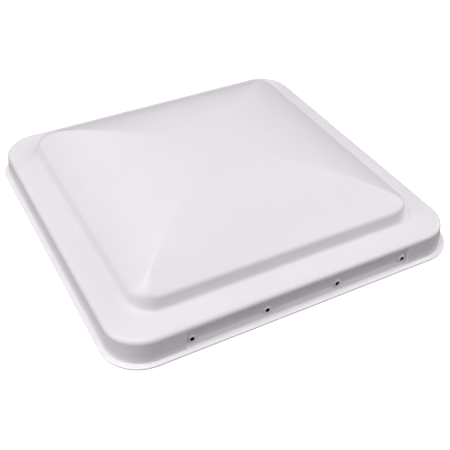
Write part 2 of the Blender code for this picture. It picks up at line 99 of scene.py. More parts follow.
# Blind rivets and the mandrels broken off in them; heights run outward from the seat.
RIVET_SEAT = PAD_Y - GAP
RIVET_HEAD_R = 4.8
RIVET_HEAD_T = 1.2
RIVET_SHANK_R = 3.0
RIVET_BORE_R = 2.45
RIVET_BULB_L = 2.8
BULB_AT = PAD_INNER_Y + GAP + LEAF_T + GAP - RIVET_SEAT
MANDREL_R = 2.05
MANDREL_L = 5.6
MANDREL_SINK = 1.5

# Lift track, shoe and stud.
TRACK_Y = 118.0
TRACK_TOP = 47.2
TRACK_H = 11.0
TRACK_HALF = 100.0
TRACK_W = 17.0
TRACK_T = 1.5
TRACK_SLOT = 7.6
TAB_END = 117.0
TAB_W = 24.0
SCREWS = [(x, TRACK_Y + y) for x in (-108.0, 108.0) for y in (-6.0, 6.0)]
BOSS_R = 4.0
BOSS_FOOT = TRACK_TOP + GAP
PILOT_R = 1.9
PILOT_DEPTH = 7.6
SCREW_R = 1.5
SCREW_ROOT_R = 1.12
SCREW_L = 8.2
THREAD_PITCH = 0.95
CROSS_HALF = 2.0
CROSS_W_HALF = 0.45
SHOE_HALF = 12.0
SHOE_GAP = 0.4
NECK_HALF = 9.0
NECK_W_HALF = 3.4
NECK_DROP = 2.6
STUD_R = 2.0
STUD_BORE_R = 2.4
STUD_HEAD_R = 3.6
STUD_HEAD_T = 1.2
STUD_DROP = 3.4
BUTTON_R = 3.5
BUTTON_T = 2.0
POCKET_R = 4.1
POCKET_DEPTH = 2.4

# Weather seal.
SEAL_OUT = 16.0
SEAL_IN = 28.0
SEAL_LOW = 21.4
SEAL_HIGH = LEDGE_UNDER_Z - GAP

# Steps round a corner of the lid, along its plain sides, and where the front side ends.
CORNER = 20
SIDE_STEPS = 9
FRONT_REACH = 157.8


def dome_z(reach):
    share = reach / (LID_HALF - RIM)
    return RIM_Z + (APEX_Z - RIM_Z) * (1.0 - share ** DOME_POWER)


def plan_radius(inset):
    """Corner radius in plan; past the rim it tightens into the hips."""
    table = ((0.0, 43.0), (5.2, 39.5), (6.7, 39.5), (12.0, 35.8), (37.8, 29.0), (40.4, 27.1))
    for (low, a), (high, b) in zip(table, table[1:]):
        if inset <= high:
            return a + (b - a) * (inset - low) / (high - low)
    fade = max(1.0 - (inset - RIM) / HIP_REACH, 0.0) ** 2
    return HIP_R + (table[-1][1] - HIP_R) * fade


def smooth(t):
    t = min(max(t, 0.0), 1.0)
    return t * t * (3.0 - 2.0 * t)


def side_samples():
    """Positions along one side, from 1 to -1, close together at the ends of the hinge pad."""
    xs = set()
    for side in (-1.0, 1.0):
        for k in range(-6, 7):
            xs.add(round(side * PAD_HALF + HINGE_X + k * 0.15, 3))
            xs.add(round(side * PAD_BACK_HALF + HINGE_X + k * 0.3, 3))
    xs.update(round(HINGE_X + k * 19.0, 3) for k in range(-6, 7))
    xs.update((-146.0, 148.0))
    return [x / FRONT_REACH for x in sorted(xs, reverse=True)]


FRONT = side_samples()
PLAIN = [1.0 - 2.0 * k / SIDE_STEPS for k in range(1, SIDE_STEPS)]


def ring(inset, z, radius, pad=None):
    """A rounded square; pad gives the inset inside the hinge pad as a function of x."""
    half = LID_HALF - inset
    flat = half - radius
    points = []
    for corner in range(4):
        sx = 1.0 if corner in (0, 3) else -1.0
        sy = 1.0 if corner in (0, 1) else -1.0
        start = corner * math.pi / 2.0
        for step in range(CORNER + 1):
            a = start + step * math.pi / 2.0 / CORNER
            points.append((sx * flat + radius * math.cos(a), sy * flat + radius * math.sin(a)))
        if corner == 0:
            points += [(t * flat, half) for t in PLAIN]
        elif corner == 1:
            points += [(-half, t * flat) for t in PLAIN]
        elif corner == 2:
            for t in reversed(FRONT):
                x = t * flat
                y = -half
                if pad:
                    y = -LID_HALF + pad(x, inset, z)
                points.append((x, y))
        else:
            points += [(half, -t * flat) for t in PLAIN]
    return [Vector((x, y, z)) * MM for x, y in points]


def pad_front(x, inset, z):
    """Outside of the hinge pad: a recess that leans in from both edges to a crease."""
    if not PAD_FOOT_Z <= z <= SKIRT_TOP_Z:
        return inset
    if z < PAD_BREAK_Z:
        share = (z - PAD_FOOT_Z) / (PAD_BREAK_Z - PAD_FOOT_Z)
        plane = PAD_FOOT_INSET + (PAD_INSET - PAD_FOOT_INSET) * share
    else:
        share = (z - PAD_BREAK_Z) / (SKIRT_TOP_Z - PAD_BREAK_Z)
        plane = PAD_INSET + (SKIRT_TOP - PAD_INSET) * share
    share = smooth((PAD_HALF + 0.45 - abs(x - HINGE_X)) / 0.9)
    return inset + (max(inset, plane) - inset) * share


def pad_back(x, inset, z):
    """Inside of the hinge pad: one flat that the hinge leaf lies on."""
    share = smooth((PAD_BACK_HALF + 0.9 - abs(x - HINGE_X)) / 1.8)
    rise = smooth((z - 1.2) / 1.4) if z < SKIRT_TOP_Z else 1.0
    deep = max(inset, PAD_BACK_INSET)
    return inset + (deep - inset) * share * rise


def arc(centre, radius, first, last, steps):
    points = []
    for k in range(steps + 1):
        a = math.radians(first + (last - first) * k / steps)
        points.append((centre[0] + radius * math.cos(a), centre[1] + radius * math.sin(a)))
    return points


def sweep(first, middle, last, steps):
    """Points of a quadratic curve between first and last."""
    points = []
    for k in range(steps + 1):
        t = k / steps
        weights = ((1.0 - t) ** 2, 2.0 * t * (1.0 - t), t * t)
        mix = zip(weights, (first, middle, last))
        total = [0.0, 0.0]
        for weight, point in mix:
            total = [total[0] + weight * point[0], total[1] + weight * point[1]]
        points.append(tuple(total))
    return points


def outer_profile():
    """(inset, z) of the outside of the lid, from the foot of the lip up to the rim."""
    points = sweep((0.5, 0.0), (0.0, 0.0), (0.0, 0.5), 3)
    points += sweep((0.0, 0.9), (0.0, LIP_THICK), (1.7, LIP_THICK), 6)
    points += [(2.6, LIP_THICK)]
    foot = (SKIRT_FOOT, LIP_THICK + 1.4)
    points += sweep((SKIRT_FOOT - 1.3, LIP_THICK + 0.05), (SKIRT_FOOT - 0.1, LIP_THICK + 0.1), foot, 6)
    top = (SKIRT_TOP, SKIRT_TOP_Z)
    levels = (4.6, 5.6, 6.6, 7.6, 8.4, 9.0, 9.4, 9.8, 10.4, 11.4, 13.0, 15.0, 17.5, 20.0, 22.5)
    for z in levels:
        t = (z - foot[1]) / (top[1] - foot[1])
        points.append((foot[0] + (top[0] - foot[0]) * t, z))
    points += arc((SKIRT_TOP + EDGE_R, SKIRT_TOP_Z), EDGE_R, 180.0, 90.0, 14)
    ledge = SKIRT_TOP_Z + EDGE_R
    foot_z = ledge + LEDGE_FALL
    points += [(18.0, ledge + 0.12), (24.0, ledge + 0.3), (29.0, ledge + 0.45)]
    top = (STEP_FOOT + 0.7, foot_z + 4.8)
    points += sweep((STEP_FOOT - 4.2, foot_z), (STEP_FOOT - 0.2, foot_z), top, 12)
    points += [(STEP_FOOT + 1.1, foot_z + 7.0), (STEP_FOOT + 1.65, foot_z + 10.0)]
    top = (RIM + 3.2, dome_z(LID_HALF - RIM - 3.2))
    points += sweep((RIM - 0.55, RIM_Z - 3.0), (RIM, RIM_Z - 0.1), top, 10)
    return points


def inner_profile():
    """(inset, z) of the inside of the lid, from the foot of the lip up to the rim."""
    foot = SKIRT_FOOT + WALL
    points = [(foot - 0.4, 0.0), (foot - 0.1, 0.1), (foot, 0.4)]
    points += [(foot, z) for z in (1.2, 1.6, 2.0, 2.6, 3.9)]
    low = (foot, 3.9)
    high = (SKIRT_TOP + EDGE_R - (LEDGE_UNDER_Z - SKIRT_TOP_Z), SKIRT_TOP_Z)
    for z in (8.0, 12.0, 16.0, 20.0, 23.0):
        t = (z - low[1]) / (high[1] - low[1])
        points.append((low[0] + (high[0] - low[0]) * t, z))
    points += arc((SKIRT_TOP + EDGE_R, SKIRT_TOP_Z), LEDGE_UNDER_Z - SKIRT_TOP_Z, 180.0, 90.0, 8)
    points += [(20.0, LEDGE_UNDER_Z), (28.0, LEDGE_UNDER_Z)]
    top = (STEP_FOOT + 3.2, LEDGE_UNDER_Z + 5.4)
    points += sweep((STEP_FOOT - 2.0, LEDGE_UNDER_Z), (STEP_FOOT + 2.4, LEDGE_UNDER_Z), top, 8)
    points.append((RIM + 2.1, RIM_Z - 3.6))
    return points


def dome_rings(rise, margin, count):
    """Rings of the dome from just inside the rim to the crown."""
    half = LID_HALF - RIM
    rings = []
    first = 1.0 - margin / half
    last = 2.0 / half
    for k in range(count + 1):
        share = first + (last - first) * (k / count) ** 1.3
        inset = RIM + half * (1.0 - share)
        radius = min(plan_radius(inset), half * share * 0.9)
        rings.append(ring(inset, dome_z(half * share) + rise, radius))
    return rings


def mesh_object(name, bm, smooth_angle=30.0):
    """An object from a bmesh, shaded smooth with its true edges kept sharp."""
    bmesh.ops.recalc_face_normals(bm, faces=bm.faces)
    mesh = bpy.data.meshes.new(name)
    bm.to_mesh(mesh)
    bm.free()
    mesh.shade_smooth()
    mesh.set_sharp_from_angle(angle=math.radians(smooth_angle))
    obj = bpy.data.objects.new(name, mesh)
    bpy.context.scene.collection.objects.link(obj)
    return obj


def loft(name, rings, closed=False, smooth_angle=30.0):
    """Skin rings of equal counts; closed joins the last to the first, else the ends are capped."""
    bm = bmesh.new()
    rows = [[bm.verts.new(p) for p in r] for r in rings]
    count = len(rows[0])
    pairs = list(zip(rows, rows[1:]))
    if closed:
        pairs.append((rows[-1], rows[0]))
    for low, high in pairs:
        for i in range(count):
            j = (i + 1) % count
            bm.faces.new((low[i], low[j], high[j], high[i]))
    if not closed:
        bm.faces.new(rows[0])
        bm.faces.new(rows[-1])
    return mesh_object(name, bm, smooth_angle)


def apply_all(obj, cutters=()):
    """Turn the object's modifiers into its own mesh and drop the cutters."""
    graph = bpy.context.evaluated_depsgraph_get()
    mesh = bpy.data.meshes.new_from_object(obj.evaluated_get(graph))
    obj.modifiers.clear()
    obj.data = mesh
    mesh.shade_smooth()
    mesh.set_sharp_from_angle(angle=math.radians(30.0))
    for cutter in cutters:
        bpy.data.objects.remove(cutter, do_unlink=True)


def boolean(obj, cutter, operation):
    mod = obj.modifiers.new(cutter.name, "BOOLEAN")
    mod.operation = operation
    mod.solver = "EXACT"
    mod.object = cutter


def rod(name, radius, start, end, steps=48, radius2=None):
    """A round bar from start to end, tapered when radius2 is given."""
    bm = bmesh.new()
    start = Vector(start) * MM
    axis = Vector(end) * MM - start
    turn = axis.to_track_quat("Z", "Y").to_matrix().to_4x4()
    matrix = Matrix.Translation(start + axis / 2.0) @ turn
    bmesh.ops.create_cone(bm, cap_ends=True, segments=steps, radius1=radius * MM,
                          radius2=(radius if radius2 is None else radius2) * MM,
                          depth=axis.length, matrix=matrix)
    return mesh_object(name, bm)


def block(name, low, high, bevel=0.0, segments=2):
    bm = bmesh.new()
    low = Vector(low) * MM
    high = Vector(high) * MM
    matrix = Matrix.Translation((low + high) / 2.0) @ Matrix.Diagonal((*(high - low), 1.0))
    bmesh.ops.create_cube(bm, size=1.0, matrix=matrix)
    if bevel:
        bmesh.ops.bevel(bm, geom=bm.edges[:], offset=bevel * MM, segments=segments,
                        profile=0.5, affect="EDGES")
    return mesh_object(name, bm)


def turned(name, profile, place, axis="Z", closed=False, steps=48):
    """Turn (radius, height) pairs in millimetres round an axis through place."""
    bm = bmesh.new()
    rows = []
    for radius, height in profile:
        row = []
        count = 1 if radius == 0.0 else steps
        for k in range(count):
            a = 2.0 * math.pi * k / steps
            x = radius * math.cos(a)
            y = radius * math.sin(a)
            point = {"Z": (x, y, height), "Y": (x, -height, y), "X": (height, x, y)}[axis]
            row.append(bm.verts.new((Vector(point) + Vector(place)) * MM))
        rows.append(row)
    pairs = list(zip(rows, rows[1:]))
    if closed:
        pairs.append((rows[-1], rows[0]))
    for low, high in pairs:
        for k in range(steps):
            j = (k + 1) % steps
            if len(low) == 1:
                bm.faces.new((low[0], high[j], high[k]))
            elif len(high) == 1:
                bm.faces.new((low[k], low[j], high[0]))
            else:
                bm.faces.new((low[k], low[j], high[j], high[k]))
    return mesh_object(name, bm)


def extruded(name, outline, low_x, high_x, place):
    """A section in (y, z) millimetres run along X between two places."""
    bm = bmesh.new()
    rows = []
    for x in (low_x, high_x):
        rows.append([bm.verts.new((Vector((x, y, z)) + Vector(place)) * MM) for y, z in outline])
    count = len(outline)
    for k in range(count):
        j = (k + 1) % count
        bm.faces.new((rows[0][k], rows[0][j], rows[1][j], rows[1][k]))
    bm.faces.new(rows[0])
    bm.faces.new(rows[1])
    return mesh_object(name, bm)


# ---------------------------------------------------------------- materials

class Nodes:
    """Short way to wire a node material."""

    def __init__(self, name):
        self.mat = bpy.data.materials.new(name)
        self.mat.use_nodes = True
        self.tree = self.mat.node_tree
        self.shader = self.tree.nodes["Principled BSDF"]
        coords = self.tree.nodes.new("ShaderNodeTexCoord")
        self.place = coords.outputs["Object"]

    def link(self, a, b):
        self.tree.links.new(a, b)

    def stretch(self, scale):
        m = self.tree.nodes.new("ShaderNodeMapping")
        m.inputs["Scale"].default_value = scale
        self.link(self.place, m.inputs["Vector"])
        return m.outputs["Vector"]

    def noise(self, scale, detail=3.0, roughness=0.5, vector=None):
        n = self.tree.nodes.new("ShaderNodeTexNoise")
        n.inputs["Scale"].default_value = scale
        n.inputs["Detail"].default_value = detail
        n.inputs["Roughness"].default_value = roughness
        self.link(vector or self.place, n.inputs["Vector"])
        return n.outputs["Fac"]

    def ramp(self, value, stops):
        r = self.tree.nodes.new("ShaderNodeValToRGB")
        while len(r.color_ramp.elements) < len(stops):
            r.color_ramp.elements.new(0.5)
        for element, (place, colour) in zip(r.color_ramp.elements, stops):
            element.position = place
            element.color = (*colour, 1.0)
        self.link(value, r.inputs["Fac"])
        return r.outputs["Color"]

    def span(self, value, low, high, out_low, out_high):
        m = self.tree.nodes.new("ShaderNodeMapRange")
        sockets = ("From Min", "From Max", "To Min", "To Max")
        for socket, number in zip(sockets, (low, high, out_low, out_high)):
            m.inputs[socket].default_value = number
        self.link(value, m.inputs["Value"])
        return m.outputs["Result"]

    def maths(self, operation, a, b):
        m = self.tree.nodes.new("ShaderNodeMath")
        m.operation = operation
        for k, value in enumerate((a, b)):
            if isinstance(value, (int, float)):
                m.inputs[k].default_value = value
            else:
                self.link(value, m.inputs[k])
        return m.outputs[0]

    def mix(self, share, a, b):
        m = self.tree.nodes.new("ShaderNodeMix")
        m.data_type = "RGBA"
        self.link(share, m.inputs["Factor"])
        for socket, value in (("A", a), ("B", b)):
            target = [i for i in m.inputs if i.name == socket and i.type == "RGBA"][0]
            if isinstance(value, tuple):
                target.default_value = (*value, 1.0)
            else:
                self.link(value, target)
        return [o for o in m.outputs if o.type == "RGBA"][0]

    def bump(self, height, distance, strength=1.0, normal=None):
        b = self.tree.nodes.new("ShaderNodeBump")
        b.inputs["Distance"].default_value = distance
        b.inputs["Strength"].default_value = strength
        self.link(height, b.inputs["Height"])
        if normal is not None:
            self.link(normal, b.inputs["Normal"])
        return b.outputs["Normal"]

    def set(self, name, value):
        socket = self.shader.inputs[name]
        if isinstance(value, (int, float)):
            socket.default_value = value
        elif isinstance(value, tuple):
            socket.default_value = (*value, 1.0)
        else:
            self.link(value, socket)


def white_plastic():
    n = Nodes("white_polypropylene_look")
    flow = n.noise(7.0, 2.0, 0.45)
    cloud = n.noise(38.0, 4.0, 0.55)
    tone = n.maths("ADD", n.maths("MULTIPLY", flow, 0.7), n.maths("MULTIPLY", cloud, 0.3))
    body = n.ramp(tone, [
        (0.30, (0.768, 0.729, 0.771)),
        (0.52, (0.783, 0.744, 0.786)),
        (0.72, (0.795, 0.758, 0.795)),
    ])
    # The lip is painted paler than the wall: painted light standing in for light thrown up from the
    # floor.
    split = n.tree.nodes.new("ShaderNodeSeparateXYZ")
    n.link(n.place, split.inputs["Vector"])
    painted_lip_light = n.span(split.outputs["Z"], 0.0027, 0.0023, 0.0, 1.0)
    n.set("Base Color", n.mix(painted_lip_light, body, (0.895, 0.865, 0.895)))
    n.set("Roughness", n.span(cloud, 0.3, 0.7, 0.30, 0.38))
    orange = n.noise(420.0, 2.0, 0.5)
    sink = n.noise(16.0, 1.0, 0.4)
    normal = n.bump(sink, 0.0009)
    normal = n.bump(orange, 0.00003, 1.0, normal)
    n.set("Normal", normal)
    n.set("IOR", 1.49)
    return n.mat


def painted_rivet():
    n = Nodes("white_rivet_look")
    speck = n.noise(900.0, 3.0, 0.6)
    n.set("Base Color", n.ramp(speck, [
        (0.28, (0.60, 0.58, 0.58)),
        (0.38, (0.76, 0.74, 0.76)),
        (0.80, (0.79, 0.77, 0.79)),
    ]))
    n.set("Roughness", n.span(speck, 0.3, 0.7, 0.28, 0.42))
    n.set("Normal", n.bump(speck, 0.00004))
    return n.mat


def metal(name, dark, light, rough, scale, stretch=(1.0, 1.0, 1.0), depth=0.00003, metallic=1.0):
    """A metal whose tone and roughness follow fine lines and soft stains."""
    n = Nodes(name)
    lines = n.noise(scale, 3.0, 0.6, n.stretch(stretch))
    stain = n.noise(22.0, 4.0, 0.6)
    tone = n.maths("ADD", n.maths("MULTIPLY", lines, 0.55), n.maths("MULTIPLY", stain, 0.45))
    n.set("Base Color", n.ramp(tone, [(0.35, dark), (0.62, light)]))
    n.set("Metallic", metallic)
    n.set("Roughness", n.span(tone, 0.35, 0.65, *rough))
    n.set("Normal", n.bump(lines, depth))
    return n.mat


def nylon():
    n = Nodes("natural_nylon_look")
    cloud = n.noise(60.0, 4.0, 0.55)
    grain = n.noise(1500.0, 2.0, 0.5)
    n.set("Base Color", n.ramp(cloud, [(0.35, (0.70, 0.66, 0.55)), (0.65, (0.78, 0.75, 0.65))]))
    n.set("Roughness", n.span(cloud, 0.3, 0.7, 0.38, 0.52))
    n.set("Normal", n.bump(grain, 0.00003))
    n.set("Subsurface Weight", 0.15)
    n.shader.inputs["Subsurface Radius"].default_value = (0.002, 0.0015, 0.001)
    return n.mat


def foam():
    n = Nodes("black_foam_look")
    cells = n.tree.nodes.new("ShaderNodeTexVoronoi")
    cells.inputs["Scale"].default_value = 1300.0
    n.link(n.place, cells.inputs["Vector"])
    soft = n.noise(120.0, 4.0, 0.6)
    holes = n.maths("MULTIPLY", cells.outputs["Distance"], 0.6)
    tone = n.maths("ADD", holes, n.maths("MULTIPLY", soft, 0.4))
    n.set("Base Color", n.ramp(tone, [
        (0.2, (0.012, 0.012, 0.013)),
        (0.5, (0.030, 0.030, 0.031)),
        (0.8, (0.060, 0.060, 0.060)),
    ]))
    n.set("Roughness", n.span(soft, 0.3, 0.7, 0.86, 0.97))
    normal = n.bump(soft, 0.0006)
    n.set("Normal", n.bump(cells.outputs["Distance"], 0.00035, 1.0, normal))
    return n.mat


def floor_look():
    n = Nodes("floor_look")
    cloud = n.noise(3.0, 3.0, 0.5)
    n.set("Base Color", n.ramp(cloud, [(0.3, (0.93, 0.93, 0.93)), (0.7, (0.95, 0.95, 0.95))]))
    n.set("Roughness", 0.9)
    n.set("Specular IOR Level", 0.1)
    n.set("Emission Color", (1.0, 1.0, 1.0))
    n.set("Emission Strength", 0.62)
    return n.mat


PLASTIC = white_plastic()
RIVET = painted_rivet()
# The mandrel look is near-black: partly the steel's own darker tone, partly painted shade for the
# shadow down the rivet bore.
MANDREL_AND_BORE_SHADE = metal("dark_steel_and_painted_shade_look", (0.018, 0.018, 0.02), (0.05, 0.05, 0.055), (0.42, 0.62), 500.0,
                depth=0.00005, metallic=0.8)
ZINC = metal("zinc_steel_look", (0.42, 0.43, 0.44), (0.62, 0.63, 0.64), (0.30, 0.46), 420.0)
BRIGHT = metal("bright_steel_look", (0.50, 0.50, 0.51), (0.70, 0.70, 0.71), (0.16, 0.30), 900.0,
               (0.05, 1.0, 1.0))
ALUMINIUM = metal("mill_aluminium_look", (0.58, 0.59, 0.60), (0.78, 0.79, 0.80), (0.26, 0.42), 900.0,
                  (0.02, 1.0, 1.0))
NYLON = nylon()
FOAM = foam()


def give(obj, mat, body, slot, *nodes):
    """Finish a piece: its look, the body it rides on and the nodes it stands for; the slot argument is
    not used.
    """
    obj.data.materials.clear()
    obj.data.materials.append(mat)
    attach(obj, body)
    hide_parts(*nodes)


# ---------------------------------------------------------------- lid

def build_lid():
    outer = [ring(i, z, plan_radius(i), pad_front) for i, z in outer_profile()]
    inner = [ring(i, z, plan_radius(i), pad_back) for i, z in inner_profile()]
    outer += dome_rings(0.0, 4.6, 64)
    inner += dome_rings(-WALL, 5.4, 30)
    lid = loft("lid", inner[::-1] + outer)
    cutters = []

    def use(cutter, operation):
        boolean(lid, cutter, operation)
        cutters.append(cutter)

    for number, x in enumerate(RIVETS):
        start = (x, -LID_HALF - 2.0, RIVET_Z)
        use(rod(f"spot_{number}", SPOT_R, start, (x, PAD_Y, RIVET_Z), 64), "DIFFERENCE")
        end = (x, PAD_INNER_Y + 3.0, RIVET_Z)
        use(rod(f"hole_{number}", RIVET_HOLE_R, start, end), "DIFFERENCE")
    profile = [(0.0, -1.0), (GATE_R + 0.4, -1.0), (GATE_R + 0.3, 0.0), (GATE_R, 0.18)]
    profile += [(GATE_R - 0.5, GATE_H), (0.5, GATE_H), (0.0, GATE_H - 0.15)]
    use(turned("gate", profile, (0.0, 0.0, APEX_Z)), "UNION")
    for number, (x, y) in enumerate(SCREWS):
        # The low heights count from the dome's inside and are lifted onto it below.
        profile = [(0.0, BOSS_FOOT), (BOSS_R - 0.3, BOSS_FOOT), (BOSS_R, BOSS_FOOT + 0.3)]
        profile += [(BOSS_R, -3.0), (BOSS_R + 0.15, -1.2), (BOSS_R + 0.6, -0.3)]
        profile += [(BOSS_R + 1.1, 0.1), (BOSS_R + 1.1, 1.2), (0.0, 1.2)]
        boss = turned(f"boss_{number}", profile, (x, y, 0.0))
        for vert in boss.data.vertices:
            if vert.co.z < 5.0 * MM:
                reach = max(abs(vert.co.x), abs(vert.co.y)) / MM
                vert.co.z += (dome_z(reach) - WALL) * MM
        use(boss, "UNION")
        start = (x, y, BOSS_FOOT - 1.0)
        end = (x, y, BOSS_FOOT + PILOT_DEPTH)
        use(rod(f"pilot_{number}", PILOT_R, start, end, 32), "DIFFERENCE")
    apply_all(lid, cutters)
    give(lid, PLASTIC, "lid", "white_polypropylene", "lid_shell")


build_lid()


def chamfer(obj, width, segments=2, angle=40.0):
    mod = obj.modifiers.new("chamfer", "BEVEL")
    mod.width = width * MM
    mod.segments = segments
    mod.limit_method = "ANGLE"
    mod.angle_limit = math.radians(angle)


def plate(name, outline, low_z, high_z):
    """A flat outline in (x, y) millimetres given a thickness upwards."""
    bm = bmesh.new()
    rows = [[bm.verts.new(Vector((x, y, z)) * MM) for x, y in outline] for z in (low_z, high_z)]
    count = len(outline)
    for k in range(count):
        j = (k + 1) % count
        bm.faces.new((rows[0][k], rows[0][j], rows[1][j], rows[1][k]))
    bm.faces.new(rows[0])
    bm.faces.new(rows[1])
    return mesh_object(name, bm)


# ---------------------------------------------------------------- hinge

def build_leaf(name, body, side, first_cut, holes, hole_r, hole_z, sink):
    """A strip rolled round the pin, with every second knuckle cut away."""
    top = LEAF_TOP_Z - PIN_Z
    face = BARREL_R - LEAF_T
    lap = face - LAP_GAP
    lap_out, lap_in = (math.degrees(math.acos(lap / r)) for r in (BARREL_R, BORE_R))
    outline = [(BARREL_R, top)] + arc((0.0, 0.0), BARREL_R, 0.0, -360.0 + lap_out, 44)
    outline += arc((0.0, 0.0), BORE_R, lap_in, 360.0, 36) + [(face, 0.5), (face, top)]
    outline = [(side * y, z) for y, z in outline]
    ends = (HINGE_X - LEAF_HALF, HINGE_X + LEAF_HALF)
    leaf = extruded(name, outline, *ends, (0.0, PIN_Y, PIN_Z))
    cutters = []
    pitch = 2.0 * LEAF_HALF / KNUCKLES
    for k in range(first_cut, KNUCKLES, 2):
        low = HINGE_X - LEAF_HALF + k * pitch - KNUCKLE_GAP / 2.0
        high = low + pitch + KNUCKLE_GAP
        if k == 0:
            low -= 1.0
        if k == KNUCKLES - 1:
            high += 1.0
        start = (low, PIN_Y - NOTCH_REACH, PIN_Z - NOTCH_REACH)
        end = (high, PIN_Y + NOTCH_REACH, PIN_Z + BARREL_R + KNUCKLE_GAP)
        cutters.append(block(f"{name}_notch_{k}", start, end))
    for k, x in enumerate(holes):
        hole = rod(f"{name}_hole_{k}", hole_r, (x, PIN_Y - 6.0, hole_z), (x, PIN_Y + 6.0, hole_z), 40)
        cutters.append(hole)
        if sink:
            start = (x, PIN_Y + face - 0.2, hole_z)
            end = (x, PIN_Y + face + 1.15, hole_z)
            cutters.append(rod(f"{name}_sink_{k}", SINK_R, start, end, 40, hole_r - 0.1))
    for cutter in cutters:
        boolean(leaf, cutter, "DIFFERENCE")
    chamfer(leaf, 0.13, 1)
    apply_all(leaf, cutters)
    give(leaf, ALUMINIUM, body, "mill_aluminium", name)


build_leaf("hinge_leaf_lid", "lid", -1.0, 1, RIVETS, RIVET_HOLE_R, RIVET_Z, False)
build_leaf("hinge_leaf_roof", "roof_leaf", 1.0, 0, ROOF_HOLES, ROOF_HOLE_R, ROOF_HOLE_Z, True)

half_pin = [(0.0, 1.0), (1.0, 0.96), (1.7, 0.8), (2.15, 0.5), (2.3, 0.15), (2.3, 0.0), (PIN_R, 0.0)]
profile = [(r, -PIN_END - h) for r, h in half_pin] + [(r, PIN_END + h) for r, h in reversed(half_pin)]
pin = turned("hinge_pin", profile, (HINGE_X, PIN_Y, PIN_Z), "X")
give(pin, BRIGHT, "lid", "bright_steel", "hinge_pin")


def build_rivet(number, x):
    """A painted rivet whose bore takes the near-black mandrel look as painted shade, with the broken
    mandrel inside.
    """
    profile = [(RIVET_BORE_R, 0.95)]
    profile += sweep((2.5, 1.05), (2.6, RIVET_HEAD_T), (2.9, RIVET_HEAD_T), 4)
    profile += sweep((3.3, 1.19), (4.5, 1.05), (RIVET_HEAD_R, 0.25), 8)
    profile += [(RIVET_HEAD_R, 0.0), (RIVET_SHANK_R, 0.0), (RIVET_SHANK_R, -BULB_AT)]
    profile += sweep((3.1, -BULB_AT), (3.75, -BULB_AT - 1.2), (3.5, -BULB_AT - 2.2), 6)
    profile += [(RIVET_SHANK_R, -BULB_AT - RIVET_BULB_L), (RIVET_BORE_R, -BULB_AT - RIVET_BULB_L)]
    rivet = turned(f"hinge_rivet_{number}", profile, (x, RIVET_SEAT, RIVET_Z), "Y", True, 64)
    give(rivet, RIVET, "lid", "white_rivet", f"hinge_rivet_{number}")
    # The bore faces take the near-black mandrel look: painted shade for the dark inside of the bore.
    rivet.data.materials.append(MANDREL_AND_BORE_SHADE)
    for face in rivet.data.polygons:
        near = math.hypot(face.center.x / MM - x, face.center.z / MM - RIVET_Z)
        face.material_index = 1 if near < RIVET_BORE_R + 0.02 else 0
    profile = [(0.0, -0.4), (0.5, -0.33), (0.9, -0.12), (1.4, 0.0), (1.75, -0.1), (MANDREL_R, -0.45)]
    profile += [(MANDREL_R, -MANDREL_L + 0.6), (MANDREL_R - 0.35, -MANDREL_L), (0.0, -MANDREL_L)]
    place = (x, RIVET_SEAT + MANDREL_SINK, RIVET_Z)
    core = turned(f"rivet_mandrel_{number}", profile, place, "Y", False, 48)
    give(core, MANDREL_AND_BORE_SHADE, "lid", "dark_steel", f"rivet_mandrel_{number}")


for number, x in enumerate(RIVETS, 1):
    build_rivet(number, x)


# ---------------------------------------------------------------- lift track, screws, shoe and stud

def build_track():
    wide = TRACK_W / 2.0
    slot_half = TRACK_SLOT / 2.0
    foot = TRACK_TOP - TRACK_H
    lip = foot + TRACK_T
    inner = wide - TRACK_T
    roof = TRACK_TOP - TRACK_T
    big, small = 0.8, 0.3
    section = arc((wide - big, TRACK_TOP - big), big, 0.0, 90.0, 5)
    section += arc((-wide + big, TRACK_TOP - big), big, 90.0, 180.0, 5)
    section += arc((-wide + big, foot + big), big, 180.0, 270.0, 5)
    section += arc((-slot_half - small, foot + small), small, 270.0, 360.0, 3)
    section += [(-slot_half, lip), (-inner, lip), (-inner, roof)]
    section += [(inner, roof), (inner, lip), (slot_half, lip)]
    section += arc((slot_half + small, foot + small), small, 180.0, 270.0, 3)
    section += arc((wide - big, foot + big), big, 270.0, 360.0, 5)
    track = extruded("lift_track", section, -TRACK_HALF, TRACK_HALF, (0.0, TRACK_Y, 0.0))
    cutters = []
    start, edge, round_r = TRACK_HALF - 4.0, TAB_W / 2.0, 3.0
    corner = (TAB_END - round_r, edge - round_r)
    shape = [(start, -edge)] + arc((corner[0], -corner[1]), round_r, -90.0, 0.0, 8)
    shape += arc(corner, round_r, 0.0, 90.0, 8) + [(start, edge)]
    for side in (-1.0, 1.0):
        outline = [(side * x, TRACK_Y + y) for x, y in shape]
        tab = plate("tab_left" if side < 0.0 else "tab_right", outline, roof, TRACK_TOP)
        boolean(track, tab, "UNION")
        cutters.append(tab)
    for k, (x, y) in enumerate(SCREWS):
        hole = rod(f"tab_hole_{k}", PILOT_R, (x, y, roof - 1.0), (x, y, TRACK_TOP + 1.0), 40)
        boolean(track, hole, "DIFFERENCE")
        cutters.append(hole)
    chamfer(track, 0.18, 2)
    apply_all(track, cutters)
    give(track, ALUMINIUM, "lid", "mill_aluminium", "lift_track")


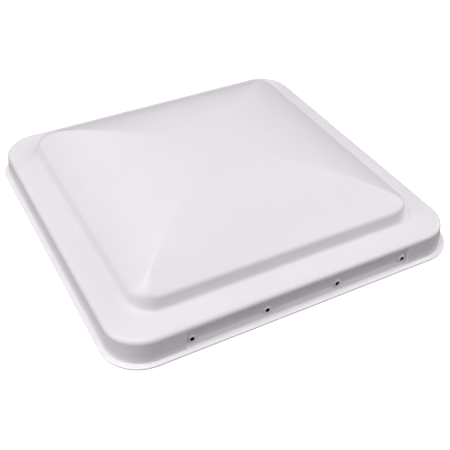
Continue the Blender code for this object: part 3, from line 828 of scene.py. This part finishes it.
def build_screw(number, x, y):
    seat = TRACK_TOP - TRACK_T - GAP
    profile = [(0.0, SCREW_L), (0.4, SCREW_L - 0.2)]
    height = SCREW_L - 0.6
    while height > 0.8:
        profile += [(SCREW_ROOT_R, height), (SCREW_R, height - 0.35)]
        profile += [(SCREW_R, height - 0.45), (SCREW_ROOT_R, height - 0.8)]
        height -= THREAD_PITCH
    profile += [(SCREW_R, 0.3), (SCREW_R, 0.0), (3.2, 0.0)]
    profile += sweep((3.4, -0.2), (3.45, -1.5), (2.4, -2.0), 7) + [(1.3, -2.17), (0.0, -2.2)]
    screw = turned(f"track_screw_{number}", profile, (x, y, seat))
    cutters = []
    for k, (dx, dy) in enumerate(((CROSS_HALF, CROSS_W_HALF), (CROSS_W_HALF, CROSS_HALF))):
        cross = block(f"cross_{number}_{k}", (x - dx, y - dy, seat - 3.4), (x + dx, y + dy, seat - 1.0))
        for vert in cross.data.vertices:
            if vert.co.z > (seat - 2.0) * MM:
                vert.co.x = (x + (vert.co.x / MM - x) * (0.6 if dx > dy else 1.0)) * MM
                vert.co.y = (y + (vert.co.y / MM - y) * (0.6 if dy > dx else 1.0)) * MM
        boolean(screw, cross, "DIFFERENCE")
        cutters.append(cross)
    apply_all(screw, cutters)
    give(screw, ZINC, "lid", "zinc_steel", f"track_screw_{number}")


def build_slider():
    foot = TRACK_TOP - TRACK_H
    top = TRACK_TOP - TRACK_T - SHOE_GAP
    step = foot + TRACK_T + SHOE_GAP
    bottom = foot - NECK_DROP
    wide = TRACK_W / 2.0 - TRACK_T - SHOE_GAP
    low, high = (-SHOE_HALF, TRACK_Y - wide, step), (SHOE_HALF, TRACK_Y + wide, top)
    shoe = block("lift_slider", low, high, 0.7, 3)
    low = (-NECK_HALF, TRACK_Y - NECK_W_HALF, bottom)
    high = (NECK_HALF, TRACK_Y + NECK_W_HALF, step + 1.5)
    neck = block("neck", low, high, 0.4, 2)
    below, above = (0.0, TRACK_Y, bottom - 1.0), (0.0, TRACK_Y, top + 1.0)
    bore = rod("stud_bore", STUD_BORE_R, below, above, 48)
    pocket = rod("stud_pocket", POCKET_R, (0.0, TRACK_Y, top - POCKET_DEPTH), above, 56)
    low, high = (0.0, TRACK_Y, bottom - 0.01), (0.0, TRACK_Y, bottom + 0.5)
    mouth = rod("bore_mouth", STUD_BORE_R + 0.5, low, high, 48, STUD_BORE_R - 0.02)
    boolean(shoe, neck, "UNION")
    for cutter in (bore, pocket, mouth):
        boolean(shoe, cutter, "DIFFERENCE")
    apply_all(shoe, (neck, bore, pocket, mouth))
    give(shoe, NYLON, "slider", "natural_nylon", "lift_slider")
    head = top - POCKET_DEPTH + 0.4
    drop = head - bottom + STUD_DROP
    base = drop + BUTTON_T
    rim = (STUD_HEAD_R, STUD_HEAD_T - 0.4)
    profile = [(0.0, STUD_HEAD_T)] + sweep((3.2, STUD_HEAD_T), (STUD_HEAD_R, STUD_HEAD_T), rim, 4)
    profile += [(STUD_HEAD_R, 0.1), (3.5, 0.0), (STUD_R, 0.0), (STUD_R, -drop + 0.3), (2.3, -drop)]
    profile += sweep((3.1, -drop), (BUTTON_R, -drop), (BUTTON_R, -drop - 0.4), 4)
    profile += sweep((BUTTON_R, -drop - 1.3), (BUTTON_R, -base), (2.4, -base), 6)
    profile += [(0.6, -base), (0.0, -base + 0.25)]
    stud = turned("slider_stud", profile, (0.0, TRACK_Y, head), "Z", False, 64)
    give(stud, BRIGHT, "stud", "bright_steel", "slider_stud")


build_track()
for number, (x, y) in enumerate(SCREWS, 1):
    build_screw(number, x, y)
build_slider()


# ---------------------------------------------------------------- weather seal

def build_seal():
    """A soft strip with rounded edges, glued flat above and crowned below."""
    section = arc((SEAL_OUT + 1.6, SEAL_HIGH - 1.0), 1.0, 180.0, 90.0, 4)
    section += arc((SEAL_IN - 1.6, SEAL_HIGH - 1.0), 1.0, 90.0, 0.0, 4)
    section += [(27.75, 25.2), (SEAL_IN, 24.2), (27.95, 23.4)]
    section += sweep((27.8, 22.9), (27.2, 21.9), (25.4, 21.6), 6)
    section += [(23.6, 21.45), (22.0, SEAL_LOW), (20.4, 21.45)]
    section += sweep((18.6, 21.6), (16.8, 21.9), (16.2, 22.9), 6)
    section += [(16.05, 23.4), (SEAL_OUT, 24.2), (16.25, 25.2)]
    rings = [ring(inset, z, SEAL_OUT + SEAL_IN - inset) for inset, z in section]
    seal = loft("weather_seal", rings, closed=True, smooth_angle=50.0)
    for vert in seal.data.vertices:
        share = smooth((25.0 * MM - vert.co.z) / (3.6 * MM))
        turn = math.atan2(vert.co.y, vert.co.x)
        wave = 0.5 + 0.22 * math.sin(9.0 * turn) + 0.16 * math.sin(23.0 * turn + 1.0)
        wave += 0.12 * math.sin(41.0 * turn + 2.0)
        vert.co.z += 0.3 * MM * share * wave
    give(seal, FOAM, "lid", "black_foam", "weather_seal")


build_seal()


# ---------------------------------------------------------------- camera, light and floor

CAMERA_AT = Vector((-332.3, -655.0, 558.8)) * MM
YAW, PITCH, ROLL = (math.radians(a) for a in (28.07, 39.0, 0.32))
FOCAL_PX = 778.3
IMAGE_PX = 450.0
SENSOR_MM = 36.0

forward = Vector((math.sin(YAW) * math.cos(PITCH), math.cos(YAW) * math.cos(PITCH), -math.sin(PITCH)))
flat_right = Vector((math.cos(YAW), -math.sin(YAW), 0.0))
flat_up = flat_right.cross(forward)
right = math.cos(ROLL) * flat_right + math.sin(ROLL) * flat_up
up = -math.sin(ROLL) * flat_right + math.cos(ROLL) * flat_up
camera_data = bpy.data.cameras.new("camera")
camera_data.sensor_width = SENSOR_MM
camera_data.lens = FOCAL_PX / IMAGE_PX * SENSOR_MM
camera_data.clip_start = 0.01
camera = bpy.data.objects.new("camera", camera_data)
camera.matrix_world = Matrix((
    (right.x, up.x, -forward.x, CAMERA_AT.x),
    (right.y, up.y, -forward.y, CAMERA_AT.y),
    (right.z, up.z, -forward.z, CAMERA_AT.z),
    (0.0, 0.0, 0.0, 1.0),
))
bpy.context.scene.collection.objects.link(camera)
bpy.context.scene.camera = camera


def sun(name, elevation, azimuth, strength, angle):
    """A soft distant light; azimuth runs from +X towards +Y."""
    data = bpy.data.lights.new(name, "SUN")
    data.energy = strength
    data.angle = math.radians(angle)
    obj = bpy.data.objects.new(name, data)
    rise = math.radians(elevation)
    turn = math.radians(azimuth)
    towards = Vector((math.cos(rise) * math.cos(turn), math.cos(rise) * math.sin(turn), math.sin(rise)))
    obj.rotation_euler = towards.to_track_quat("Z", "Y").to_euler()
    bpy.context.scene.collection.objects.link(obj)


sun("overhead", 72.0, 180.0, 1.77, 50.0)
sun("front_fill", 45.0, 315.0, 1.05, 45.0)
sun("back_fill", 45.0, 90.0, 0.31, 45.0)
sun("left_key", 15.0, 180.0, 1.31, 45.0)
sun("right_key", 15.0, 0.0, 0.92, 45.0)


def build_world():
    """Faint studio light, stronger from below, where the pale floor throws it back."""
    world = bpy.data.worlds.new("studio")
    world.use_nodes = True
    tree = world.node_tree
    coords = tree.nodes.new("ShaderNodeTexCoord")
    split = tree.nodes.new("ShaderNodeSeparateXYZ")
    fade = tree.nodes.new("ShaderNodeMapRange")
    stops = (("From Min", -0.1), ("From Max", 0.1), ("To Min", 0.17), ("To Max", 0.06))
    for socket, value in stops:
        fade.inputs[socket].default_value = value
    tree.links.new(coords.outputs["Generated"], split.inputs["Vector"])
    tree.links.new(split.outputs["Z"], fade.inputs["Value"])
    tree.links.new(fade.outputs["Result"], tree.nodes["Background"].inputs["Strength"])
    tree.nodes["Background"].inputs["Color"].default_value = (1.0, 1.0, 1.0, 1.0)
    bpy.context.scene.world = world


build_world()
bpy.context.scene.view_settings.view_transform = "Standard"

# The floor lies flat under the lid and turns up into a backdrop far out.
bm = bmesh.new()
bmesh.ops.create_grid(bm, x_segments=64, y_segments=64, size=8.0)
for vert in bm.verts:
    vert.co.z = 0.35 * max(vert.co.to_2d().length - 3.0, 0.0) ** 2
floor = mesh_object("floor", bm)
floor.location.z = -0.0002
floor.data.materials.append(floor_look())
floor.visible_diffuse = False
floor.visible_glossy = False
floor.visible_shadow = False
